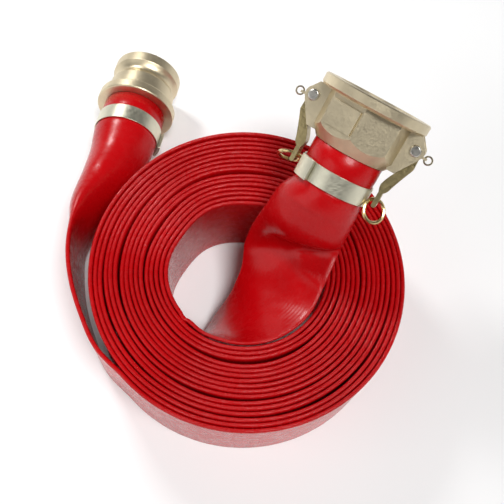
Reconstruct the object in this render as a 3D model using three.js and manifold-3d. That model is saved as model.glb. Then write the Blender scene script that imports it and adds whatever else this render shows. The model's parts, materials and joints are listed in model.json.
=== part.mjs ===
// Rolled lay-flat discharge hose with a cam-and-groove coupling clamped on each end.
// Millimetres, +Z up. The roll lies flat on its edge folds. The inner end climbs out of the
// eye of the roll to the female coupler, the outer end runs off to the male adapter.

import * as THREE from "three";
import { mergeVertices } from "three/addons/utils/BufferGeometryUtils.js";
import Module from "manifold-3d";

const wasm = await Module();
wasm.setup();

// ---------------------------------------------------------------- driving dimensions

const HOSE_FLAT_WIDTH = 84;
const TURNS = 16;
const TURN_PITCH = 3.88;
const ROLL_OUTER_RADIUS = 129;
const ROLL_INNER_RADIUS = ROLL_OUTER_RADIUS - TURNS * TURN_PITCH;

const GAP = 0.3;
const ROUND_SEGMENTS = 44;

const SHANK_RADIUS = 25.8;
const SHANK_BORE_RADIUS = 22.5;
const SHANK_END = -22;
const SLEEVE_INNER_RADIUS = SHANK_RADIUS + GAP;
const SLEEVE_OUTER_RADIUS = 29;
const SLEEVE_START = -12;
const HOSE_END = 23.5;

const BAND_WIDTH = 15;
const BAND_INNER_RADIUS = SLEEVE_OUTER_RADIUS + 0.35;
const BAND_OUTER_RADIUS = BAND_INNER_RADIUS + 0.9;
const BUCKLE_HEIGHT = 2.7;
const BUCKLE_HALF_ANGLE = THREE.MathUtils.degToRad(15);

const BODY_CORNER_RADIUS = 38.4;
const BODY_BOTTOM = HOSE_END + GAP;
const BODY_BOTTOM_RADIUS = 30;
const BODY_SHOULDER = 36;
const RIM_RADIUS = 44.5;
const RIM_BOTTOM = 60.2;
const RIM_TOP = 69;
const MOUTH_RADIUS = 32.2;
const GASKET_SEAT = 33.5;
const GASKET_GROOVE_TOP = 38.5;
const GASKET_GROOVE_RADIUS = 34;

const PAD_HEIGHT = 1.5;
const PAD_WIDTH = 26;
const PAD_LENGTH = 18.5;

const PIVOT_X = 43.5;
const PIVOT_Z = 49;
const PIN_RADIUS = 3.1;
const PIN_HEAD_RADIUS = 4.5;
const PIN_HEAD_HEIGHT = 1.5;
const CAM_REACH = 13;
const HUB_RADIUS = 6.6;
const ARM_HALF_WIDTH = 6.8;
const CHEEK_INNER = 7.3;
const CHEEK_THICKNESS = 5;
const CHEEK_NOSE_RADIUS = 7;
const TIP_X = 36.5;
const TIP_Z = -3.8;
const TIP_HALF_THICKNESS = 1.8;
const EYE_Z = 2.2;
const EYE_RADIUS = 3.6;

const RING_RADIUS = 9.3;
const RING_WIRE_RADIUS = 1.5;
const RING_TWIST = THREE.MathUtils.degToRad(35);
const LEFT_RING_SWING = THREE.MathUtils.degToRad(60);
const RIGHT_RING_SWING = THREE.MathUtils.degToRad(-25);

const CLIP_TAB_X = 51.9;
const CLIP_TAB_Y = -(CHEEK_INNER + CHEEK_THICKNESS / 2);
const CLIP_TAB_Z = 47;
const CLIP_HOLE_RADIUS = 1.3;
const CLIP_RADIUS = 3.1;
const CLIP_WIRE_RADIUS = 0.7;

const FLANGE_RADIUS = 36.9;
const FLANGE_FRONT = 33;
const HEAD_RADIUS = 31;
const LIP_RADIUS = 32.2;
const GROOVE_DEPTH = 3.4;
const ADAPTER_MOUTH = 73;
const ADAPTER_BORE_RADIUS = 24;

// Each coupling's own frame has its origin at the middle of the clamp band and +Z out of the mouth.
// foldAngle is where the hose's upper edge fold meets the shank.
const COUPLER = { at: [65, 57, 137], azimuth: 32, tilt: 38, foldAngle: 0, buckleAngle: 225 };
const ADAPTER = { at: [-110.7, 153.5, 40.4], azimuth: 12, tilt: -6, foldAngle: -90, buckleAngle: 20 };

// Stations of the two free ends of the hose, from the roll to the coupling: the upper and lower
// edge folds of the hose, and how far its two walls stand apart. Roll centre at x = y = 0.
const INNER_END_STATIONS = [
  { top: [-45, -45, 84], bottom: [-47, -40, 0.3], thickness: 4 },
  { top: [-32, -55, 84], bottom: [-38, -35, 2.5], thickness: 4 },
  { top: [-9, -62, 84], bottom: [-26, -20, 13], thickness: 4 },
  { top: [14, -61, 85], bottom: [-12, -3, 30], thickness: 4 },
  { top: [34, -52, 86], bottom: [-6, 8, 43], thickness: 5 },
  { top: [50, -37, 87], bottom: [-3, 16, 51], thickness: 6 },
  { top: [61, -16, 91], bottom: [-2, 25, 58], thickness: 9 },
  { top: [71, 6, 97], bottom: [-1, 33, 66], thickness: 13 },
  { top: [75, 14, 103], bottom: [5, 43, 83], thickness: 24 },
  { top: [75, 13.5, 111], bottom: [15, 50.7, 107], thickness: 39 },
  { top: [81, 25, 122], bottom: [24.5, 60, 121], thickness: 54 },
];
const OUTER_END_STATIONS = [
  { top: [-97.7, -88, 84], bottom: [-97.7, -88, 0], thickness: 4 },
  { top: [-117, -66, 84], bottom: [-117, -66, 0], thickness: 4 },
  { top: [-131, -39, 84], bottom: [-131, -39, 0], thickness: 4 },
  { top: [-141, -12, 84], bottom: [-141, -12, 0], thickness: 4 },
  { top: [-146, 14, 84], bottom: [-146, 14, 0], thickness: 5 },
  { top: [-146, 39, 83], bottom: [-147, 39, 1], thickness: 12 },
  { top: [-141, 66, 80], bottom: [-140, 66, 2], thickness: 28 },
  { top: [-129, 95, 74], bottom: [-128, 95, 5], thickness: 42 },
  { top: [-119, 121, 70], bottom: [-118, 121, 9], thickness: 52 },
];
const LOFT_SIDES = 12;
const LOFT_STEPS = 40;

// ---------------------------------------------------------------- helpers

const group = new THREE.Group();

function addMesh(parent, name, geometry, material) {
  const mesh = new THREE.Mesh(geometry, material.clone());
  mesh.name = name;
  parent.add(mesh);
  return mesh;
}

function toSolid(geometry) {
  const bare = geometry.clone();
  bare.deleteAttribute("normal");
  bare.deleteAttribute("uv");
  const merged = mergeVertices(bare, 1e-4);
  return new wasm.Manifold(new wasm.Mesh({
    numProp: 3,
    vertProperties: new Float32Array(merged.attributes.position.array),
    triVerts: new Uint32Array(merged.index.array),
  }));
}

function toGeometry(solid) {
  const mesh = solid.getMesh();
  const geometry = new THREE.BufferGeometry();
  geometry.setAttribute("position", new THREE.BufferAttribute(mesh.vertProperties, 3));
  geometry.setIndex(new THREE.BufferAttribute(mesh.triVerts, 1));
  const flat = geometry.toNonIndexed();
  flat.computeVertexNormals();
  return flat;
}

function turned(points, segments = ROUND_SEGMENTS) {
  const geometry = new THREE.LatheGeometry(points.map(([r, z]) => new THREE.Vector2(r, z)), segments);
  return geometry.rotateX(Math.PI / 2);
}

function turnedRing(innerRadius, outerRadius, low, high, segments = ROUND_SEGMENTS) {
  const corners = [[innerRadius, low], [outerRadius, low], [outerRadius, high], [innerRadius, high]];
  return turned([...corners, corners[0]], segments);
}

function turnedPlug(radius, low, high, segments = ROUND_SEGMENTS) {
  return turned([[0, low], [radius, low], [radius, high], [0, high]], segments);
}

function rodAlongY(radius, length, x, z, segments = 28) {
  return new THREE.CylinderGeometry(radius, radius, length, segments).translate(x, 0, z);
}

function block(sizeX, sizeY, sizeZ, x, y, z) {
  return new THREE.BoxGeometry(sizeX, sizeY, sizeZ).translate(x, y, z);
}

// A plate outlined in X and Z, from y = low to y = low + thickness.
function plateXZ(shape, low, thickness, curveSegments = 12) {
  const geometry = new THREE.ExtrudeGeometry(shape, { depth: thickness, bevelEnabled: false, curveSegments });
  return geometry.rotateX(Math.PI / 2).translate(0, low + thickness, 0);
}

// Stands a coupling's frame at a place, its +Z turned from +Y towards +X and raised.
function couplingGroup({ at, azimuth, tilt }) {
  const frame = new THREE.Group();
  frame.position.set(...at);
  const raise = THREE.MathUtils.degToRad(tilt) - Math.PI / 2;
  frame.rotation.set(raise, 0, -THREE.MathUtils.degToRad(azimuth), "ZXY");
  frame.updateMatrixWorld(true);
  return frame;
}

// ---------------------------------------------------------------- materials

const hoseMaterial = new THREE.MeshStandardMaterial({ color: 0xc00a12, roughness: 0.35, metalness: 0 });
const castMaterial = new THREE.MeshStandardMaterial({ color: 0xc9bfa2, roughness: 0.5, metalness: 0.9 });
const machinedMaterial = new THREE.MeshStandardMaterial({ color: 0xd2c8ad, roughness: 0.25, metalness: 1 });
const bandMaterial = new THREE.MeshStandardMaterial({ color: 0xc6c8ac, roughness: 0.3, metalness: 1 });
const armMaterial = new THREE.MeshStandardMaterial({ color: 0x9a8c5e, roughness: 0.4, metalness: 0.9 });
const brassMaterial = new THREE.MeshStandardMaterial({ color: 0xc8a85c, roughness: 0.25, metalness: 1 });
const steelMaterial = new THREE.MeshStandardMaterial({ color: 0xb9b9b2, roughness: 0.3, metalness: 1 });
const gasketMaterial = new THREE.MeshStandardMaterial({ color: 0x1c1c1e, roughness: 0.7, metalness: 0 });

// ---------------------------------------------------------------- hose

function hoseStations(stations, frame, foldAngle) {
  const list = stations.map(({ top, bottom, thickness }) => ({
    top: new THREE.Vector3(...top),
    bottom: new THREE.Vector3(...bottom),
    thickness,
  }));
  const fold = THREE.MathUtils.degToRad(foldAngle);
  const reach = new THREE.Vector3(Math.cos(fold), Math.sin(fold), 0).multiplyScalar(SLEEVE_OUTER_RADIUS);
  const shankMiddle = new THREE.Vector3(0, 0, SLEEVE_START);
  list.push({
    top: frame.localToWorld(shankMiddle.clone().add(reach)),
    bottom: frame.localToWorld(shankMiddle.clone().sub(reach)),
    thickness: 2 * SLEEVE_OUTER_RADIUS,
  });
  return list;
}

// A closed tube through elliptic sections that follow the two edge folds.
function loftedHose(stations) {
  const topFold = new THREE.CatmullRomCurve3(stations.map((s) => s.top), false, "centripetal");
  const bottomFold = new THREE.CatmullRomCurve3(stations.map((s) => s.bottom), false, "centripetal");
  const middleAt = (t) => topFold.getPoint(t).add(bottomFold.getPoint(t)).multiplyScalar(0.5);
  const geometry = new THREE.CylinderGeometry(1, 1, 1, LOFT_SIDES, LOFT_STEPS);
  const position = geometry.attributes.position;
  const step = 0.5 / LOFT_STEPS;
  for (let i = 0; i < position.count; i += 1) {
    const t = THREE.MathUtils.clamp(position.getY(i) + 0.5, 0, 1);
    const along = middleAt(Math.min(t + step, 1)).sub(middleAt(Math.max(t - step, 0))).normalize();
    const halfWidth = topFold.getPoint(t).sub(bottomFold.getPoint(t)).multiplyScalar(0.5);
    const place = t * (stations.length - 1);
    const index = Math.min(Math.floor(place), stations.length - 2);
    const thickness = THREE.MathUtils.lerp(
      stations[index].thickness, stations[index + 1].thickness, place - index);
    const across = new THREE.Vector3().crossVectors(halfWidth, along).setLength(thickness / 2);
    const point = middleAt(t);
    point.addScaledVector(halfWidth, position.getZ(i));
    point.addScaledVector(across, -position.getX(i));
    position.setXYZ(i, point.x, point.y, point.z);
  }
  return geometry;
}

// The free end of the hose, with the socket that the coupling's shank fills.
function hoseEnd(stations, frame, foldAngle) {
  const sleeveShape = turnedPlug(SLEEVE_OUTER_RADIUS, SLEEVE_START - 1, HOSE_END);
  const socketShape = turnedPlug(SLEEVE_INNER_RADIUS, SHANK_END - 1, HOSE_END + 1);
  const sleeve = toSolid(sleeveShape.applyMatrix4(frame.matrixWorld));
  const socket = toSolid(socketShape.applyMatrix4(frame.matrixWorld));
  const loft = toSolid(loftedHose(hoseStations(stations, frame, foldAngle)));
  return toGeometry(loft.add(sleeve).subtract(socket));
}

function addHose(couplerFrame, adapterFrame) {
  const roll = turnedRing(ROLL_INNER_RADIUS, ROLL_OUTER_RADIUS, 0, HOSE_FLAT_WIDTH, 64);
  addMesh(group, "hose_roll", roll, hoseMaterial);
  const innerEnd = hoseEnd(INNER_END_STATIONS, couplerFrame, COUPLER.foldAngle);
  const outerEnd = hoseEnd(OUTER_END_STATIONS, adapterFrame, ADAPTER.foldAngle);
  addMesh(group, "hose_inner_end", innerEnd, hoseMaterial);
  addMesh(group, "hose_outer_end", outerEnd, hoseMaterial);
}

// ---------------------------------------------------------------- clamp bands

function addBand(frame, prefix, buckleAngle) {
  const band = turnedRing(BAND_INNER_RADIUS, BAND_OUTER_RADIUS, -BAND_WIDTH / 2, BAND_WIDTH / 2);
  addMesh(frame, `${prefix}_band`, band, bandMaterial);
  const low = BAND_OUTER_RADIUS + GAP;
  const centre = THREE.MathUtils.degToRad(buckleAngle);
  const outline = new THREE.Shape();
  outline.absarc(0, 0, low + BUCKLE_HEIGHT, centre - BUCKLE_HALF_ANGLE, centre + BUCKLE_HALF_ANGLE, false);
  outline.absarc(0, 0, low, centre + BUCKLE_HALF_ANGLE, centre - BUCKLE_HALF_ANGLE, true);
  const depth = BAND_WIDTH + 1.6;
  const buckle = new THREE.ExtrudeGeometry(outline, { depth, bevelEnabled: false, curveSegments: 8 });
  addMesh(frame, `${prefix}_band_buckle`, buckle.translate(0, 0, -depth / 2), bandMaterial);
}

// ---------------------------------------------------------------- coupling shank

// Outline of a serrated shank, from its end up to the shoulder at z = top.
function shankOutline(top) {
  const pitch = 9;
  const points = [[SHANK_BORE_RADIUS, SHANK_END], [SHANK_RADIUS - 1, SHANK_END]];
  for (let z = SHANK_END + pitch; z < top - pitch; z += pitch) {
    points.push([SHANK_RADIUS, z], [SHANK_RADIUS - 0.8, z + 0.4]);
  }
  points.push([SHANK_RADIUS, top]);
  return points;
}

// ---------------------------------------------------------------- female coupler

function couplerCore() {
  const outline = [
    ...shankOutline(BODY_BOTTOM),
    [BODY_BOTTOM_RADIUS, BODY_BOTTOM],
    [BODY_CORNER_RADIUS + 0.6, BODY_SHOULDER],
    [BODY_CORNER_RADIUS + 0.6, RIM_BOTTOM - 1],
    [RIM_RADIUS - 1.5, RIM_BOTTOM],
    [RIM_RADIUS, RIM_BOTTOM + 1.5],
    [RIM_RADIUS, RIM_TOP - 1],
    [RIM_RADIUS - 1, RIM_TOP],
    [MOUTH_RADIUS + 1.6, RIM_TOP],
    [MOUTH_RADIUS, RIM_TOP - 2.5],
    [MOUTH_RADIUS, GASKET_GROOVE_TOP],
    [GASKET_GROOVE_RADIUS, GASKET_GROOVE_TOP],
    [GASKET_GROOVE_RADIUS, GASKET_SEAT],
    [SHANK_BORE_RADIUS, GASKET_SEAT],
  ];
  return toSolid(turned([...outline, outline[0]]));
}

// The eight flats: a prism with a corner towards each cam arm, that trims the round core.
function eightFlats() {
  const prism = toSolid(turnedPlug(BODY_CORNER_RADIUS, BODY_BOTTOM - 1, RIM_BOTTOM - 0.5, 8));
  const above = toSolid(turnedPlug(RIM_RADIUS + 5, RIM_BOTTOM - 0.5, RIM_TOP + 1));
  const below = toSolid(turnedPlug(SHANK_RADIUS + 2, SHANK_END - 1, BODY_BOTTOM));
  return prism.add(above).add(below);
}

// One pair of cheeks that carry a cam arm's pin, with the tab that holds the safety clip.
function cheekPair(side) {
  const outline = new THREE.Shape();
  outline.moveTo(31, 27);
  outline.lineTo(38, 27);
  outline.lineTo(PIVOT_X + 5.4, PIVOT_Z - 5);
  outline.absarc(PIVOT_X, PIVOT_Z, CHEEK_NOSE_RADIUS, -0.65, 0.9, false);
  outline.lineTo(PIVOT_X, RIM_BOTTOM);
  outline.lineTo(31, RIM_BOTTOM);
  let pair = toSolid(plateXZ(outline, CHEEK_INNER, CHEEK_THICKNESS));
  pair = pair.add(toSolid(plateXZ(outline, -CHEEK_INNER - CHEEK_THICKNESS, CHEEK_THICKNESS)));
  pair = pair.add(toSolid(block(5, 4.4, 1.8, CLIP_TAB_X - 0.5, CLIP_TAB_Y, CLIP_TAB_Z)));
  const hole = new THREE.CylinderGeometry(CLIP_HOLE_RADIUS, CLIP_HOLE_RADIUS, 4, 20);
  pair = pair.subtract(toSolid(hole.rotateX(Math.PI / 2).translate(CLIP_TAB_X, CLIP_TAB_Y, CLIP_TAB_Z)));
  return side > 0 ? pair : pair.mirror([1, 0, 0]);
}

// A raised pad on one flat of the body, centred at an angle round it.
function flatPad(angle) {
  const flatRadius = BODY_CORNER_RADIUS * Math.cos(Math.PI / 8);
  const pad = block(2 * PAD_HEIGHT, PAD_WIDTH, PAD_LENGTH, flatRadius, 0, BODY_SHOULDER + PAD_LENGTH / 2 + 1);
  return toSolid(pad.rotateZ(angle));
}

// The slot that a cam swings through, and the pin's hole.
function armCutter(side) {
  const sweep = toSolid(rodAlongY(CAM_REACH + 0.5, 2 * CHEEK_INNER, PIVOT_X, PIVOT_Z, 36));
  const under = toSolid(block(60, 30, 40, PIVOT_X, 0, RIM_BOTTOM - 20));
  const hole = toSolid(rodAlongY(PIN_RADIUS + 0.1, 40, PIVOT_X, PIVOT_Z));
  const cutter = sweep.intersect(under).add(hole);
  return side > 0 ? cutter : cutter.mirror([1, 0, 0]);
}

function couplerBody() {
  const bore = toSolid(turnedPlug(MOUTH_RADIUS, GASKET_GROOVE_TOP - 0.1, RIM_TOP + 1));
  let body = couplerCore().intersect(eightFlats());
  for (const flat of [3, 11]) {
    body = body.add(flatPad((flat * Math.PI) / 8));
  }
  for (const side of [1, -1]) {
    body = body.add(cheekPair(side).subtract(bore));
  }
  const seat = toSolid(turnedPlug(GASKET_GROOVE_RADIUS, GASKET_SEAT, GASKET_GROOVE_TOP));
  body = body.subtract(seat);
  for (const side of [1, -1]) {
    body = body.subtract(armCutter(side));
  }
  return toGeometry(body);
}

function camArm(side) {
  const outline = new THREE.Shape();
  outline.moveTo(PIVOT_X + 5, PIVOT_Z - 4);
  outline.absarc(PIVOT_X, PIVOT_Z, HUB_RADIUS, -0.7, Math.PI * 0.75, false);
  outline.quadraticCurveTo(PIVOT_X - CAM_REACH, PIVOT_Z + 6.5, PIVOT_X - CAM_REACH, PIVOT_Z);
  outline.quadraticCurveTo(PIVOT_X - CAM_REACH + 0.5, PIVOT_Z - 5.5, PIVOT_X - 4.6, PIVOT_Z - 8.5);
  outline.lineTo(PIVOT_X - 3.3, PIVOT_Z - 19);
  outline.quadraticCurveTo(TIP_X - 1.5, 22, TIP_X - 3.2, 15);
  outline.quadraticCurveTo(TIP_X - 3, 11, TIP_X - TIP_HALF_THICKNESS, EYE_Z + 7);
  outline.lineTo(TIP_X - TIP_HALF_THICKNESS, TIP_Z + 1);
  outline.lineTo(TIP_X - TIP_HALF_THICKNESS + 1, TIP_Z);
  outline.lineTo(TIP_X + TIP_HALF_THICKNESS - 1, TIP_Z);
  outline.lineTo(TIP_X + TIP_HALF_THICKNESS, TIP_Z + 1);
  outline.lineTo(TIP_X + TIP_HALF_THICKNESS, EYE_Z + 7);
  outline.quadraticCurveTo(TIP_X + 4.5, 11, TIP_X + 5.2, 15);
  outline.quadraticCurveTo(TIP_X + 8.5, 25, PIVOT_X + 5.6, PIVOT_Z - 14);
  let arm = toSolid(plateXZ(outline, -ARM_HALF_WIDTH, 2 * ARM_HALF_WIDTH));
  arm = arm.subtract(toSolid(rodAlongY(PIN_RADIUS + 0.1, 40, PIVOT_X, PIVOT_Z)));
  const eye = new THREE.CylinderGeometry(EYE_RADIUS, EYE_RADIUS, 20, 24);
  arm = arm.subtract(toSolid(eye.rotateZ(Math.PI / 2 + RING_TWIST).translate(TIP_X, 0, EYE_Z)));
  return toGeometry(arm).rotateZ(side > 0 ? 0 : Math.PI);
}

function camPin(side) {
  const headStart = CHEEK_INNER + CHEEK_THICKNESS + GAP;
  const end = headStart + PIN_HEAD_HEIGHT;
  const outline = [
    [0, -end], [PIN_HEAD_RADIUS - 1, -end], [PIN_HEAD_RADIUS, -end + 0.8], [PIN_HEAD_RADIUS, -headStart],
    [PIN_RADIUS, -headStart], [PIN_RADIUS, headStart],
    [PIN_HEAD_RADIUS, headStart], [PIN_HEAD_RADIUS, end - 0.8], [PIN_HEAD_RADIUS - 1, end], [0, end],
  ];
  return turned(outline, 20).rotateX(-Math.PI / 2).translate(side * PIVOT_X, 0, PIVOT_Z);
}

function addPullRing(frame, name, side, swing) {
  const eye = new THREE.Group();
  eye.position.set(side * TIP_X, 0, EYE_Z);
  eye.rotation.set(swing, 0, RING_TWIST, "ZXY");
  frame.add(eye);
  const ring = new THREE.TorusGeometry(RING_RADIUS, RING_WIRE_RADIUS, 8, 30).rotateX(Math.PI / 2);
  addMesh(eye, name, ring.translate(0, 0, -RING_RADIUS), brassMaterial);
}

function addSafetyClip(frame, name, side) {
  const loop = new THREE.TorusGeometry(CLIP_RADIUS, CLIP_WIRE_RADIUS, 6, 18).rotateX(Math.PI / 2);
  const clip = addMesh(frame, name, loop, steelMaterial);
  clip.position.set(side * (CLIP_TAB_X + CLIP_RADIUS), CLIP_TAB_Y, CLIP_TAB_Z);
}

function addCoupler(frame) {
  addMesh(frame, "coupler_body", couplerBody(), castMaterial);
  const gasket = turnedRing(26, GASKET_GROOVE_RADIUS - GAP, GASKET_SEAT + GAP, GASKET_GROOVE_TOP - GAP);
  addMesh(frame, "coupler_gasket", gasket, gasketMaterial);
  for (const [word, side, swing] of [["left", -1, LEFT_RING_SWING], ["right", 1, RIGHT_RING_SWING]]) {
    addMesh(frame, `cam_arm_${word}`, camArm(side), armMaterial);
    addMesh(frame, `cam_pin_${word}`, camPin(side), steelMaterial);
    addPullRing(frame, `pull_ring_${word}`, side, swing);
    addSafetyClip(frame, `safety_clip_${word}`, side);
  }
}

// ---------------------------------------------------------------- male adapter

function adapterBody() {
  const grooveLow = 49;
  const grooveHigh = 62;
  const outline = [
    ...shankOutline(BODY_BOTTOM),
    [FLANGE_RADIUS - 0.8, BODY_BOTTOM],
    [FLANGE_RADIUS, BODY_BOTTOM + 0.8],
    [FLANGE_RADIUS, FLANGE_FRONT - 0.8],
    [FLANGE_RADIUS - 0.8, FLANGE_FRONT],
    [HEAD_RADIUS + 1.5, FLANGE_FRONT],
    [HEAD_RADIUS, FLANGE_FRONT + 1.5],
  ];
  const grooveSteps = 6;
  for (let i = 0; i <= grooveSteps; i += 1) {
    const share = i / grooveSteps;
    const rim = THREE.MathUtils.lerp(HEAD_RADIUS, LIP_RADIUS, share);
    const z = THREE.MathUtils.lerp(grooveLow, grooveHigh, share);
    outline.push([rim - GROOVE_DEPTH * Math.sin(Math.PI * share), z]);
  }
  outline.push(
    [LIP_RADIUS, ADAPTER_MOUTH - 1.5],
    [LIP_RADIUS - 1.5, ADAPTER_MOUTH],
    [ADAPTER_BORE_RADIUS + 1, ADAPTER_MOUTH],
    [ADAPTER_BORE_RADIUS, ADAPTER_MOUTH - 1],
    [ADAPTER_BORE_RADIUS, BODY_BOTTOM + 4],
    [SHANK_BORE_RADIUS, BODY_BOTTOM],
  );
  return turned([...outline, outline[0]]);
}

// ---------------------------------------------------------------- assembly

const couplerFrame = couplingGroup(COUPLER);
const adapterFrame = couplingGroup(ADAPTER);
group.add(couplerFrame, adapterFrame);

addHose(couplerFrame, adapterFrame);
addCoupler(couplerFrame);
addBand(couplerFrame, "coupler", COUPLER.buckleAngle);
addMesh(adapterFrame, "adapter_body", adapterBody(), machinedMaterial);
addBand(adapterFrame, "adapter", ADAPTER.buckleAngle);

// The object's frame has its origin under the middle of its box.
group.updateMatrixWorld(true);
const box = new THREE.Box3().setFromObject(group, true);
group.position.set(-(box.min.x + box.max.x) / 2, -(box.min.y + box.max.y) / 2, -box.min.z);
group.updateMatrixWorld(true);

export default group;
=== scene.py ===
"""Rolled lay-flat discharge hose with a cam-and-groove coupling clamped on each end.

Metres, +Z up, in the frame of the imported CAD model. The roll lies flat on its edge folds.
The inner end climbs out of the eye of the roll to the lever coupler, and the outer end
peels off the left side to the plain adapter.
"""

import json
import math

import bmesh
import bpy
import numpy as np
from mathutils import Matrix, Vector

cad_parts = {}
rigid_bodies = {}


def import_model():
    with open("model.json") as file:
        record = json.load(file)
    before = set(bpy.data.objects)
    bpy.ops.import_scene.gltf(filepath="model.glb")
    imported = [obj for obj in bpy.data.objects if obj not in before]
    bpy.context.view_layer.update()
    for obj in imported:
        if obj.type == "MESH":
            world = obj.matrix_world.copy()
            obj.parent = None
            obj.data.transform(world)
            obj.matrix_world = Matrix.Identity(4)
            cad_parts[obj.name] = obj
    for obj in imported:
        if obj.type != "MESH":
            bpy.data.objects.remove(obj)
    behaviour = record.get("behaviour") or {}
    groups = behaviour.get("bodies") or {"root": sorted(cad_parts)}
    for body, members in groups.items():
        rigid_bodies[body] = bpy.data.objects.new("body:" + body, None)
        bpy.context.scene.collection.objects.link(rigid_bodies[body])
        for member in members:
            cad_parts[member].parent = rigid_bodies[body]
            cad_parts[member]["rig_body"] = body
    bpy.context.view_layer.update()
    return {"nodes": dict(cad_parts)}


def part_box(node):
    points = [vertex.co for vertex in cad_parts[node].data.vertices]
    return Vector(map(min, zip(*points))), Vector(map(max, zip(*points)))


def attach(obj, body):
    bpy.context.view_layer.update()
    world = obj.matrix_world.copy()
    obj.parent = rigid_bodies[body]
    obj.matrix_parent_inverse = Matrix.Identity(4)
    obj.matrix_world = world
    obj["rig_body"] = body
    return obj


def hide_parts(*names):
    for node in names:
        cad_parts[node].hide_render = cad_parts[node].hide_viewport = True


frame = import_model()

MM = 0.001
ROOT = "hose_and_couplings"

# ---------------------------------------------------------------- driving dimensions

roll_low, roll_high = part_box("hose_roll")
ROLL_CENTRE = np.array([(roll_low.x + roll_high.x) / 2, (roll_low.y + roll_high.y) / 2, roll_low.z])
HOSE_WIDTH = roll_high.z - roll_low.z
ROLL_OUTER_RADIUS = (roll_high.x - roll_low.x) / 2

WALL_PAIR = 3.1 * MM
FOLD_BEAD = 3.55 * MM
TURNS = 15.98
INNER_PATH_RADIUS = 64.6 * MM
OUTER_PATH_RADIUS = ROLL_OUTER_RADIUS + 0.3 * MM
START_ANGLE = math.radians(215)

# How far the innermost and outermost turns stray from a circle: (degrees, mm), going round.
INNER_WANDER = [(0, 0), (40, -1.5), (70, -5), (96, -6), (116, -1), (135, -2.5), (151, -5), (167, 0),
                (182, 2), (215, 0), (241, -0.6), (262, -1.7), (296, -2.5), (330, -2.0)]
OUTER_WANDER = [(0, 0), (45, 1.0), (90, 1.6), (120, 1.2), (150, 0.5), (222, 0), (270, -0.2), (315, 0.5)]

# Places where two turns stand apart: (turn, degrees, gap in mm, spread in degrees).
GAPS = [(3, 276, 2.7, 42), (4, 150, 1.6, 50), (6, 98, 2.4, 34), (9, 175, 1.8, 45), (10, 262, 1.8, 40),
        (13, 300, 1.4, 50), (7, 20, 1.5, 40), (14, 120, 1.2, 50), (12, 200, 1.2, 40)]

INNER_SEAM = 0.764
OUTER_SEAM = 15.65

# Each coupling's own frame has its origin at the middle of the clamp band and +Z out of the mouth.
COUPLER = {"at": (0.065, 0.057, 0.137), "azimuth": 32, "tilt": 38, "fold": 0}
ADAPTER = {"at": (-0.1107, 0.1535, 0.0404), "azimuth": 12, "tilt": -6, "fold": -90}
SLEEVE_RADIUS = 0.029
SOCKET_RADIUS = 0.0261
HOSE_END = 0.0235
SHANK_END = -0.023

# The bead along each fold takes up this share of a quarter of the girth, and eases into the wall.
BEAD_SHARE = 0.62
BEAD_EASE = 3.5 * MM

# Walls closer than this lie flat, and after this much more the hose is fully round.
FLAT_THICKNESS = 4 * MM
OPENING_SPAN = 22 * MM

# Ridges rise and dimples sink along this direction, up and to the front left.
CREASE_SIDE = np.array([-0.35, -0.45, 0.82])

# Rows made between two stations, rows for each turn, and points round the girth.
STATION_STEPS = 12
END_ROWS_PER_TURN = 200
ROLL_ROWS_PER_TURN = 190
END_SIDES = 56
ROLL_SIDES = 24

# Edges of the metal pieces sharper than this, in degrees, are eased.
SHARP_ANGLE = 32

# The free ends: upper fold, lower fold and how far the walls stand apart, from the roll outwards.
INNER_END_STATIONS = [
    ((-0.045, -0.045, 0.084), (-0.047, -0.040, 0.0003), 0.004),
    ((-0.032, -0.055, 0.084), (-0.038, -0.035, 0.0025), 0.004),
    ((-0.009, -0.062, 0.084), (-0.026, -0.020, 0.013), 0.004),
    ((0.014, -0.061, 0.085), (-0.012, -0.003, 0.030), 0.004),
    ((0.034, -0.052, 0.086), (-0.006, 0.008, 0.043), 0.005),
    ((0.050, -0.037, 0.087), (-0.003, 0.016, 0.051), 0.006),
    ((0.061, -0.016, 0.091), (-0.002, 0.025, 0.058), 0.009),
    ((0.071, 0.006, 0.097), (-0.001, 0.033, 0.066), 0.013),
    ((0.075, 0.014, 0.103), (0.005, 0.043, 0.083), 0.024),
    ((0.075, 0.0135, 0.111), (0.015, 0.0507, 0.107), 0.039),
    ((0.081, 0.025, 0.122), (0.0245, 0.060, 0.121), 0.054),
]
OUTER_END_STATIONS = [
    ((-0.117, -0.066, 0.084), (-0.117, -0.066, 0.000), 0.004),
    ((-0.131, -0.039, 0.084), (-0.131, -0.039, 0.000), 0.004),
    ((-0.141, -0.012, 0.084), (-0.141, -0.012, 0.000), 0.004),
    ((-0.146, 0.014, 0.084), (-0.146, 0.014, 0.000), 0.005),
    ((-0.146, 0.039, 0.083), (-0.147, 0.039, 0.001), 0.012),
    ((-0.141, 0.066, 0.080), (-0.140, 0.066, 0.002), 0.028),
    ((-0.129, 0.095, 0.074), (-0.128, 0.095, 0.005), 0.042),
    ((-0.119, 0.121, 0.070), (-0.118, 0.121, 0.009), 0.052),
]

# Ridges and dimples of the free ends: path of (station, share of the way to the lower fold), then
# height in mm and spread in mm.
INNER_CREASES = [
    ([(5.9, 0.02), (6.3, 0.26), (6.9, 0.40), (7.8, 0.52), (9.0, 0.68)], 3.4, 5.0),
    ([(6.8, 0.16), (7.5, 0.22), (8.0, 0.24)], -2.6, 8.0),
    ([(4.4, 0.45), (5.3, 0.55), (6.2, 0.66)], -2.0, 12.0),
]
OUTER_CREASES = [
    ([(4.4, 0.25), (5.4, 0.42), (6.6, 0.40)], 2.6, 4.5),
    ([(5.2, 0.18), (6.2, 0.16)], -2.2, 6.0),
    ([(5.8, 0.62), (7.0, 0.58)], -1.8, 6.0),
]


# ---------------------------------------------------------------- camera

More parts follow.
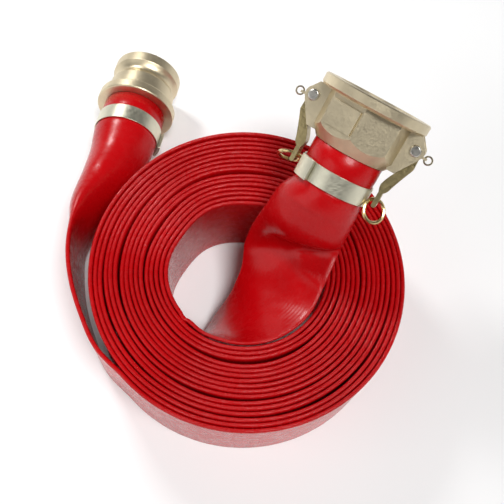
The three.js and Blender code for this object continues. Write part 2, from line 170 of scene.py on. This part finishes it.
def add_camera():
    """A long lens high in front of the roll, looking down on it."""
    data = bpy.data.cameras.new("camera")
    data.lens = 51.2
    data.sensor_width = 36
    camera = bpy.data.objects.new("camera", data)
    bpy.context.scene.collection.objects.link(camera)
    place = Vector(ROLL_CENTRE + np.array([-0.0307, -0.2110, 0.6262]))
    aim = Vector(ROLL_CENTRE + np.array([0.0032, 0.0123, 0.0916]))
    back = (place - aim).normalized()
    right = Vector((0, 1, 0)).cross(back).normalized()
    up = back.cross(right)
    camera.matrix_world = Matrix.Translation(place) @ Matrix((right, up, back)).transposed().to_4x4()
    bpy.context.scene.camera = camera
    return camera


# ---------------------------------------------------------------- materials

def new_material(name):
    material = bpy.data.materials.new(name)
    material.use_nodes = True
    nodes = material.node_tree.nodes
    return material, nodes, material.node_tree.links, nodes["Principled BSDF"]


def add_bump(nodes, links, shader, height_socket, strength, distance):
    bump = nodes.new("ShaderNodeBump")
    bump.inputs["Strength"].default_value = strength
    bump.inputs["Distance"].default_value = distance
    links.new(height_socket, bump.inputs["Height"])
    links.new(bump.outputs["Normal"], shader.inputs["Normal"])
    return bump


def object_noise(nodes, links, scale, detail=3.0, stretch=None):
    """Noise in the piece's own space, stretched along an axis if asked."""
    coordinates = nodes.new("ShaderNodeTexCoord")
    source = coordinates.outputs["Object"]
    if stretch:
        mapping = nodes.new("ShaderNodeMapping")
        mapping.inputs["Scale"].default_value = stretch
        links.new(source, mapping.inputs["Vector"])
        source = mapping.outputs["Vector"]
    noise = nodes.new("ShaderNodeTexNoise")
    noise.inputs["Scale"].default_value = scale
    noise.inputs["Detail"].default_value = detail
    links.new(source, noise.inputs["Vector"])
    return noise.outputs["Fac"]


def ramp(nodes, links, source, low, high, low_at=0.3, high_at=0.7):
    """A grey or colour ramp between two values."""
    node = nodes.new("ShaderNodeValToRGB")
    node.color_ramp.elements[0].position = low_at
    node.color_ramp.elements[1].position = high_at
    node.color_ramp.elements[0].color = low
    node.color_ramp.elements[1].color = high
    links.new(source, node.inputs["Fac"])
    return node.outputs["Color"]


def grey(value):
    return (value, value, value, 1)


def hose_material():
    """Glossy red PVC, with the faint lengthwise ribs of the yarn inside its wall."""
    material, nodes, links, shader = new_material("hose_red")
    shader.inputs["IOR"].default_value = 1.5
    shader.inputs["Specular IOR Level"].default_value = 0.24
    shader.inputs["Coat Weight"].default_value = 0.10
    shader.inputs["Coat Roughness"].default_value = 0.08
    cloud = object_noise(nodes, links, 14)
    links.new(ramp(nodes, links, cloud, (0.40, 0.0008, 0.0024, 1), (0.50, 0.0014, 0.0036, 1)),
              shader.inputs["Base Color"])
    fine = object_noise(nodes, links, 160, 4)
    links.new(ramp(nodes, links, fine, grey(0.20), grey(0.34)), shader.inputs["Roughness"])
    uv = nodes.new("ShaderNodeUVMap")
    uv.uv_map = "hose"
    ribs = nodes.new("ShaderNodeTexWave")
    ribs.wave_type = "BANDS"
    ribs.bands_direction = "Y"
    ribs.inputs["Scale"].default_value = 260
    ribs.inputs["Distortion"].default_value = 0.6
    links.new(uv.outputs["UV"], ribs.inputs["Vector"])
    height = nodes.new("ShaderNodeMath")
    height.operation = "MULTIPLY_ADD"
    height.inputs[1].default_value = 0.25
    links.new(ribs.outputs["Fac"], height.inputs[0])
    links.new(fine, height.inputs[2])
    add_bump(nodes, links, shader, height.outputs[0], 0.35, 0.00035)
    return material


def metal_material(name, color, roughness, grain, grain_depth, stretch=None):
    """A metal whose colour, gloss and surface grain vary a little over the piece."""
    material, nodes, links, shader = new_material(name)
    shader.inputs["Metallic"].default_value = 1.0
    cloud = object_noise(nodes, links, 60, 3)
    darker = tuple(0.82 * c for c in color) + (1,)
    links.new(ramp(nodes, links, cloud, darker, (*color, 1)), shader.inputs["Base Color"])
    fine = object_noise(nodes, links, grain, 4, stretch)
    links.new(ramp(nodes, links, fine, grey(roughness * 0.8), grey(roughness * 1.25)),
              shader.inputs["Roughness"])
    add_bump(nodes, links, shader, fine, 0.5, grain_depth)
    return material


def rubber_material():
    material, nodes, links, shader = new_material("black_rubber")
    fine = object_noise(nodes, links, 400, 2)
    links.new(ramp(nodes, links, fine, (0.012, 0.012, 0.013, 1), (0.03, 0.03, 0.03, 1)),
              shader.inputs["Base Color"])
    shader.inputs["Roughness"].default_value = 0.6
    return material


def floor_material():
    material, nodes, links, shader = new_material("floor")
    cloud = object_noise(nodes, links, 3, 2)
    links.new(ramp(nodes, links, cloud, (0.86, 0.86, 0.86, 1), (0.90, 0.90, 0.90, 1)),
              shader.inputs["Base Color"])
    shader.inputs["Roughness"].default_value = 0.6
    return material


# ---------------------------------------------------------------- meshes

def add_object(name, vertices, faces, material, smooth_angle=40):
    mesh = bpy.data.meshes.new(name)
    mesh.from_pydata([tuple(v) for v in vertices], [], faces)
    mesh.validate()
    mesh.polygons.foreach_set("use_smooth", [True] * len(mesh.polygons))
    mesh.set_sharp_from_angle(angle=math.radians(smooth_angle))
    mesh.materials.append(material)
    made = bpy.data.objects.new(name, mesh)
    bpy.context.scene.collection.objects.link(made)
    return made


def refined(node, name, material, bevel=0.0004, segments=2):
    """A welded, smooth-shaded copy of a CAD node, with its edges eased."""
    source = frame["nodes"][node]
    mesh = source.data.copy()
    mesh.materials.clear()
    mesh.materials.append(material)
    work = bmesh.new()
    work.from_mesh(mesh)
    bmesh.ops.remove_doubles(work, verts=work.verts, dist=1e-6)
    bmesh.ops.dissolve_limit(work, angle_limit=math.radians(0.5), verts=work.verts, edges=work.edges)
    for face in work.faces:
        face.smooth = True
    work.to_mesh(mesh)
    work.free()
    if mesh.attributes.get("custom_normal"):
        mesh.attributes.remove(mesh.attributes["custom_normal"])
    mesh.set_sharp_from_angle(angle=math.radians(SHARP_ANGLE))
    made = bpy.data.objects.new(name, mesh)
    bpy.context.scene.collection.objects.link(made)
    if bevel:
        ease = made.modifiers.new("ease", "BEVEL")
        ease.width = bevel
        ease.segments = segments
        ease.limit_method = "ANGLE"
        ease.angle_limit = math.radians(SHARP_ANGLE)
        ease.harden_normals = True
        even = made.modifiers.new("even", "WEIGHTED_NORMAL")
        even.keep_sharp = True
    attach(made, source["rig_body"])
    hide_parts(node)
    return made


# ---------------------------------------------------------------- hose

def round_table(pairs, angle):
    """A smooth periodic value at an angle in radians, from (degrees, value) pairs."""
    degrees = np.array([p[0] for p in pairs], float)
    values = np.array([p[1] for p in pairs], float)
    fine = np.arange(0, 360, 3.0)
    level = np.interp(fine, degrees, values, period=360)
    window = np.exp(-0.5 * (np.arange(-12, 13) / 4.0) ** 2)
    smooth = np.convolve(np.concatenate([level[-12:], level, level[:12]]), window / window.sum(), "valid")
    return np.interp(np.degrees(angle) % 360, fine, smooth, period=360)


def turn_angle(turn):
    """The roll winds clockwise, seen from above."""
    return START_ANGLE - 2 * math.pi * turn


def gap_shift(turn, angle):
    """How far the turns either side of each gap are pushed in or out, in mm."""
    shift = np.zeros_like(turn)
    for number, degrees, gap, spread in GAPS:
        away = (np.degrees(angle) - degrees + 180) % 360 - 180
        opposite = (math.degrees(START_ANGLE) - degrees + 180) % 360 / 360
        middle = number + opposite
        window = np.exp(-((away / spread) ** 2)) * np.clip(1.4 - np.abs(away) / 128, 0, 1)
        side = np.where(turn > middle, 1.0, -1.0)
        fade = np.exp(-np.abs(turn - middle) / 2.2)
        room = np.clip(turn / 1.5, 0, 1) * np.clip((TURNS - turn) / 1.5, 0, 1)
        shift = shift + side * 0.5 * gap * window * fade * room
    return shift


def turn_points(turn):
    """Points on the middle of the flattened hose, and how high its lower fold stands, along the roll."""
    turn = np.asarray(turn, float)
    angle = turn_angle(turn)
    share = turn / TURNS
    inner = INNER_PATH_RADIUS + MM * round_table(INNER_WANDER, angle)
    outer = OUTER_PATH_RADIUS + MM * round_table(OUTER_WANDER, angle)
    radius = inner + (outer - inner) * share + MM * gap_shift(turn, angle)
    ripple = np.sin(2 * math.pi * (turn * 5.23 + 0.13)) + 0.7 * np.sin(2 * math.pi * (turn * 8.71 + 0.4))
    radius = radius + 0.10 * MM * ripple * np.clip((TURNS - turn), 0, 1) * np.clip(turn, 0, 1)
    lift = 0.7 + 0.35 * np.sin(2 * math.pi * (turn * 1.37 + 0.2)) + 0.35 * np.sin(2 * math.pi * turn * 2.81)
    lift = lift * MM * np.clip((TURNS - turn) * 2, 0, 1) * np.clip(turn * 2, 0, 1)
    x = ROLL_CENTRE[0] + radius * np.cos(angle)
    y = ROLL_CENTRE[1] + radius * np.sin(angle)
    return x, y, ROLL_CENTRE[2] + lift


def turn_rows(start, end, per_turn):
    """Rows of upper fold, lower fold and thickness along the wound hose."""
    count = max(int(abs(end - start) * per_turn), 2) + 1
    x, y, z = turn_points(np.linspace(start, end, count))
    thick = np.full(count, WALL_PAIR)
    return np.stack([x, y, z + HOSE_WIDTH, x, y, z, thick], 1)


def coupling_matrix(place):
    """A coupling's axes as columns, and its origin."""
    azimuth = math.radians(place["azimuth"])
    tilt = math.radians(place["tilt"])
    x = np.array([math.cos(azimuth), -math.sin(azimuth), 0])
    z = np.array([math.sin(azimuth) * math.cos(tilt), math.cos(azimuth) * math.cos(tilt), math.sin(tilt)])
    y = np.cross(z, x)
    at = ROLL_CENTRE + np.array(place["at"])
    return np.stack([x, y, z], 1), at


def free_rows(stations):
    """Rows of upper fold, lower fold and thickness along a free end."""
    rows = []
    for top, bottom, thick in stations:
        upper = np.array(top) + ROLL_CENTRE
        lower = np.array(bottom) + ROLL_CENTRE
        rows.append(np.concatenate([upper, lower, [thick]]))
    return rows


def sleeve_row(place, z, radius):
    """A round row square to a coupling's axis, z along it."""
    axes, at = coupling_matrix(place)
    fold = math.radians(place["fold"])
    reach = radius * np.array([math.cos(fold), math.sin(fold), 0])
    shank = np.array([0, 0, z])
    upper = at + axes @ (shank + reach)
    lower = at + axes @ (shank - reach)
    return np.concatenate([upper, lower, [2 * radius]])


def smooth_rows(rows, steps):
    """Catmull-Rom through the rows, from the second to the last but one."""
    rows = np.array(rows)
    made = []
    for i in range(1, len(rows) - 2):
        before, first, second, after = rows[i - 1], rows[i], rows[i + 1], rows[i + 2]
        for k in range(steps):
            t = k / steps
            made.append(0.5 * (2 * first + (second - before) * t
                               + (2 * before - 5 * first + 4 * second - after) * t * t
                               + (3 * first - before - 3 * second + after) * t * t * t))
    made.append(rows[-2])
    return np.array(made)


def section(rows, sides):
    """Closed loops round the hose, from flat with a bead along each fold to fully round."""
    upper, lower, thick = rows[:, 0:3], rows[:, 3:6], rows[:, 6]
    middle = (upper + lower) / 2
    along = np.gradient(middle, axis=0)
    along /= np.linalg.norm(along, axis=1)[:, None]
    half = (upper - lower) / 2
    width = np.linalg.norm(half, axis=1)
    tall = half / width[:, None]
    across = np.cross(tall, along)
    across /= np.linalg.norm(across, axis=1)[:, None]
    angle = 2 * math.pi * np.arange(sides) / sides
    round_tall, round_across = np.cos(angle), np.sin(angle)
    quarter = sides // 4
    flat_tall = np.zeros(sides)
    flat_across = np.zeros(sides)
    loops = np.zeros((len(rows), sides, 3))
    for i in range(len(rows)):
        bead = FOLD_BEAD / 2
        wall = min(thick[i], WALL_PAIR) / 2
        for k in range(sides):
            turned = (k + sides // 2) % sides - sides // 2
            end = 1 if abs(turned) <= quarter else -1
            near = turned if end > 0 else k - sides // 2
            bend = near / quarter
            arc = np.clip(bend / BEAD_SHARE, -1, 1) * math.pi / 2
            down = max(abs(bend) - BEAD_SHARE, 0) / (1 - BEAD_SHARE)
            flat_tall[k] = end * (width[i] - bead + bead * math.cos(arc) - down * (width[i] - bead))
            ease = math.exp(-((down * (width[i] - bead) / BEAD_EASE) ** 2))
            depth = wall + (bead - wall) * ease
            sign = end * math.copysign(1, bend) if bend else 0
            flat_across[k] = sign * (depth if down > 0 else bead * abs(math.sin(arc)))
        open_share = np.clip((thick[i] - FLAT_THICKNESS) / OPENING_SPAN, 0, 1)
        open_share = open_share * open_share * (3 - 2 * open_share)
        tall_here = (1 - open_share) * flat_tall + open_share * width[i] * round_tall
        across_here = (1 - open_share) * flat_across + open_share * thick[i] / 2 * round_across
        loops[i] = middle[i] + np.outer(tall_here, tall[i]) + np.outer(across_here, across[i])
    return loops, middle


def tube_mesh(name, loops, material):
    """A closed tube through the loops, with its length and girth as UVs."""
    rings, sides = loops.shape[:2]
    vertices = loops.reshape(-1, 3)
    faces = []
    for i in range(rings - 1):
        for k in range(sides):
            step = (k + 1) % sides
            faces.append((i * sides + k, i * sides + step, (i + 1) * sides + step, (i + 1) * sides + k))
    faces.append(tuple(range(sides))[::-1])
    faces.append(tuple((rings - 1) * sides + k for k in range(sides)))
    made = add_object(name, vertices, faces, material, smooth_angle=50)
    mesh = made.data
    work = bmesh.new()
    work.from_mesh(mesh)
    bmesh.ops.recalc_face_normals(work, faces=work.faces)
    layer = work.loops.layers.uv.new("hose")
    centre = loops.mean(1)
    length = np.concatenate([[0], np.cumsum(np.linalg.norm(np.diff(centre, axis=0), axis=1))])
    girth = 2 * HOSE_WIDTH / sides
    for face in work.faces:
        ring = min(v.index // sides for v in face.verts)
        first = min(v.index % sides for v in face.verts)
        wraps = len(face.verts) == 4 and {v.index % sides for v in face.verts} == {0, sides - 1}
        for corner in face.loops:
            i, k = divmod(corner.vert.index, sides)
            around = sides if wraps and k == 0 else k
            corner[layer].uv = (length[i], around * girth)
    work.to_mesh(mesh)
    work.free()
    return made


def socket_rows(place):
    """The hose's end round the shank: over the sleeve, in at the cut end and back down the bore."""
    outside = [(-0.012, SLEEVE_RADIUS), (-0.0075, SLEEVE_RADIUS - 0.0002),
               (0.0075, SLEEVE_RADIUS - 0.0002), (0.012, SLEEVE_RADIUS), (0.018, SLEEVE_RADIUS + 0.0002)]
    inside = [(HOSE_END - 0.0005, SLEEVE_RADIUS), (HOSE_END, SLEEVE_RADIUS - 0.0005),
              (HOSE_END, SOCKET_RADIUS), (SHANK_END, SOCKET_RADIUS)]
    return [sleeve_row(place, z, r) for z, r in outside], [sleeve_row(place, z, r) for z, r in inside]


def crease_points(stations, path):
    """Points on the upper front wall of a free end, close together along a crease."""
    table = np.array(free_rows(stations))
    index = np.arange(len(table))
    path = np.array(path)
    steps = np.linspace(0, len(path) - 1, 12 * (len(path) - 1) + 1)
    place = np.interp(steps, range(len(path)), path[:, 0])
    share = np.interp(steps, range(len(path)), path[:, 1])
    rows = np.stack([np.interp(place, index, column) for column in table.T], 1)
    points = rows[:, 0:3] * (1 - share[:, None]) + rows[:, 3:6] * share[:, None]
    bulge = rows[:, 6] / 2 * np.sin(math.pi * share)
    return points + bulge[:, None] * CREASE_SIDE


def crease_loops(loops, stations, creases):
    """Raises ridges and sinks dimples in the hose near each crease."""
    for path, height, spread in creases:
        points = crease_points(stations, path)
        ends = np.sin(math.pi * np.clip(np.linspace(0.12, 0.88, len(points)), 0, 1))
        away = np.linalg.norm(loops[:, :, None, :] - points[None, None], axis=3) / (spread * MM)
        push = (ends * np.exp(-away * away)).max(2)
        loops = loops + height * MM * push[:, :, None] * CREASE_SIDE
    return loops


def end_hose(name, wound, stations, creases, place, material):
    """One free end with the part of the roll that leads to it and its socket, as one tube."""
    outside, inside = socket_rows(place)
    free = free_rows(stations)
    before = wound[-1 - len(wound) // 8]
    route = [before, wound[-1], *free, *outside]
    curved = smooth_rows(route, STATION_STEPS)
    rows = np.concatenate([wound[:-1], curved])
    loops, middle = section(rows, END_SIDES)
    loops = crease_loops(loops, stations, creases)
    last = loops[-1]
    centre = last.mean(0)
    rings = [loops]
    for row in inside:
        radius = row[6] / 2
        middle_here = (row[0:3] + row[3:6]) / 2
        spoke = last - centre
        spoke = spoke / np.linalg.norm(spoke, axis=1)[:, None]
        rings.append((middle_here + radius * spoke)[None])
    made = tube_mesh(name, np.concatenate(rings), material)
    return made, middle


def add_hose(material):
    """The hose in three pieces that meet where two turns of the roll press on each other."""
    wound_inner = turn_rows(INNER_SEAM, 0.0, END_ROWS_PER_TURN)
    wound_outer = turn_rows(OUTER_SEAM, TURNS, END_ROWS_PER_TURN)
    inner, inner_path = end_hose(
        "hose_inner", wound_inner, INNER_END_STATIONS, INNER_CREASES, COUPLER, material)
    outer, outer_path = end_hose(
        "hose_outer", wound_outer, OUTER_END_STATIONS, OUTER_CREASES, ADAPTER, material)
    loops, roll_path = section(turn_rows(INNER_SEAM, OUTER_SEAM, ROLL_ROWS_PER_TURN), ROLL_SIDES)
    roll = tube_mesh("hose_turns", loops, material)
    for piece, node in ((roll, "hose_roll"), (inner, "hose_inner_end"), (outer, "hose_outer_end")):
        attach(piece, ROOT)
        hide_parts(node)
    return roll, inner, outer


# ---------------------------------------------------------------- couplings

def add_couplings(cast, lever, brass, steel, wire, band, rubber):
    plan = [
        ("coupler_body", cast, "cast_alloy", 0.0006), ("adapter_body", cast, "cast_alloy", 0.0005),
        ("coupler_gasket", rubber, "black_rubber", 0.0003),
        ("cam_arm_left", lever, "lever_bronze", 0.0008), ("cam_arm_right", lever, "lever_bronze", 0.0008),
        ("cam_pin_left", steel, "steel", 0.0003), ("cam_pin_right", steel, "steel", 0.0003),
        ("pull_ring_left", brass, "ring_brass", 0), ("pull_ring_right", brass, "ring_brass", 0),
        ("safety_clip_left", wire, "steel_wire", 0), ("safety_clip_right", wire, "steel_wire", 0),
        ("coupler_band", band, "band_steel", 0.0002), ("coupler_band_buckle", band, "band_steel", 0.0004),
        ("adapter_band", band, "band_steel", 0.0002), ("adapter_band_buckle", band, "band_steel", 0.0004),
    ]
    for node, material, slot_name, bevel in plan:
        piece = refined(node, node + "_seen", material, bevel)


# ---------------------------------------------------------------- stage

def add_floor():
    half = 3.0
    vertices = [(-half, -half, 0), (half, -half, 0), (half, half, 0), (-half, half, 0)]
    floor = add_object("floor", vertices, [(0, 1, 2, 3)], floor_material())


def add_area_light(name, place, aim, size, power):
    data = bpy.data.lights.new(name, "AREA")
    data.shape = "SQUARE"
    data.size = size
    data.energy = power
    light = bpy.data.objects.new(name, data)
    light.location = place
    light.rotation_euler = (Vector(aim) - Vector(place)).to_track_quat("-Z", "Y").to_euler()
    bpy.context.scene.collection.objects.link(light)


def add_soft_sun(place, aim, strength, spread):
    """A far, wide lamp, so that the floor is lit evenly."""
    data = bpy.data.lights.new("key", "SUN")
    data.energy = strength
    data.angle = math.radians(spread)
    light = bpy.data.objects.new("key", data)
    light.location = place
    light.rotation_euler = (Vector(aim) - Vector(place)).to_track_quat("-Z", "Y").to_euler()
    bpy.context.scene.collection.objects.link(light)


def add_lights():
    world = bpy.data.worlds.new("world")
    bpy.context.scene.world = world
    world.use_nodes = True
    nodes, links = world.node_tree.nodes, world.node_tree.links
    background = nodes["Background"]
    coordinates = nodes.new("ShaderNodeTexCoord")
    split = nodes.new("ShaderNodeSeparateXYZ")
    links.new(coordinates.outputs["Generated"], split.inputs[0])
    glow = ramp(nodes, links, split.outputs["Z"], grey(0.88), grey(0.10), 0.06, 0.34)
    links.new(glow, background.inputs["Color"])
    background.inputs["Strength"].default_value = 1.0
    add_soft_sun((0.30, -0.36, 1.35), (0, 0, 0.05), 2.45, 24)
    add_area_light("window", (-0.55, 0.75, 0.85), (-0.05, 0.05, 0.05), 0.22, 6)
    add_area_light("side", (-1.0, -0.5, 0.75), (0, 0, 0.05), 0.9, 3)
    bpy.context.scene.view_settings.view_transform = "Standard"


add_camera()
add_hose(hose_material())
add_couplings(
    cast=metal_material("cast_alloy", (0.76, 0.655, 0.455), 0.40, 900, 0.00012),
    lever=metal_material("lever_bronze", (0.46, 0.375, 0.19), 0.34, 380, 0.0006),
    brass=metal_material("ring_brass", (0.72, 0.55, 0.27), 0.24, 300, 0.0001),
    steel=metal_material("steel", (0.62, 0.60, 0.55), 0.3, 300, 0.0001),
    wire=metal_material("steel_wire", (0.68, 0.62, 0.48), 0.22, 300, 0.0001),
    band=metal_material("band_steel", (0.80, 0.77, 0.61), 0.38, 260, 0.00008, (1, 1, 9)),
    rubber=rubber_material(),
)
add_floor()
add_lights()

bpy.context.view_layer.update()
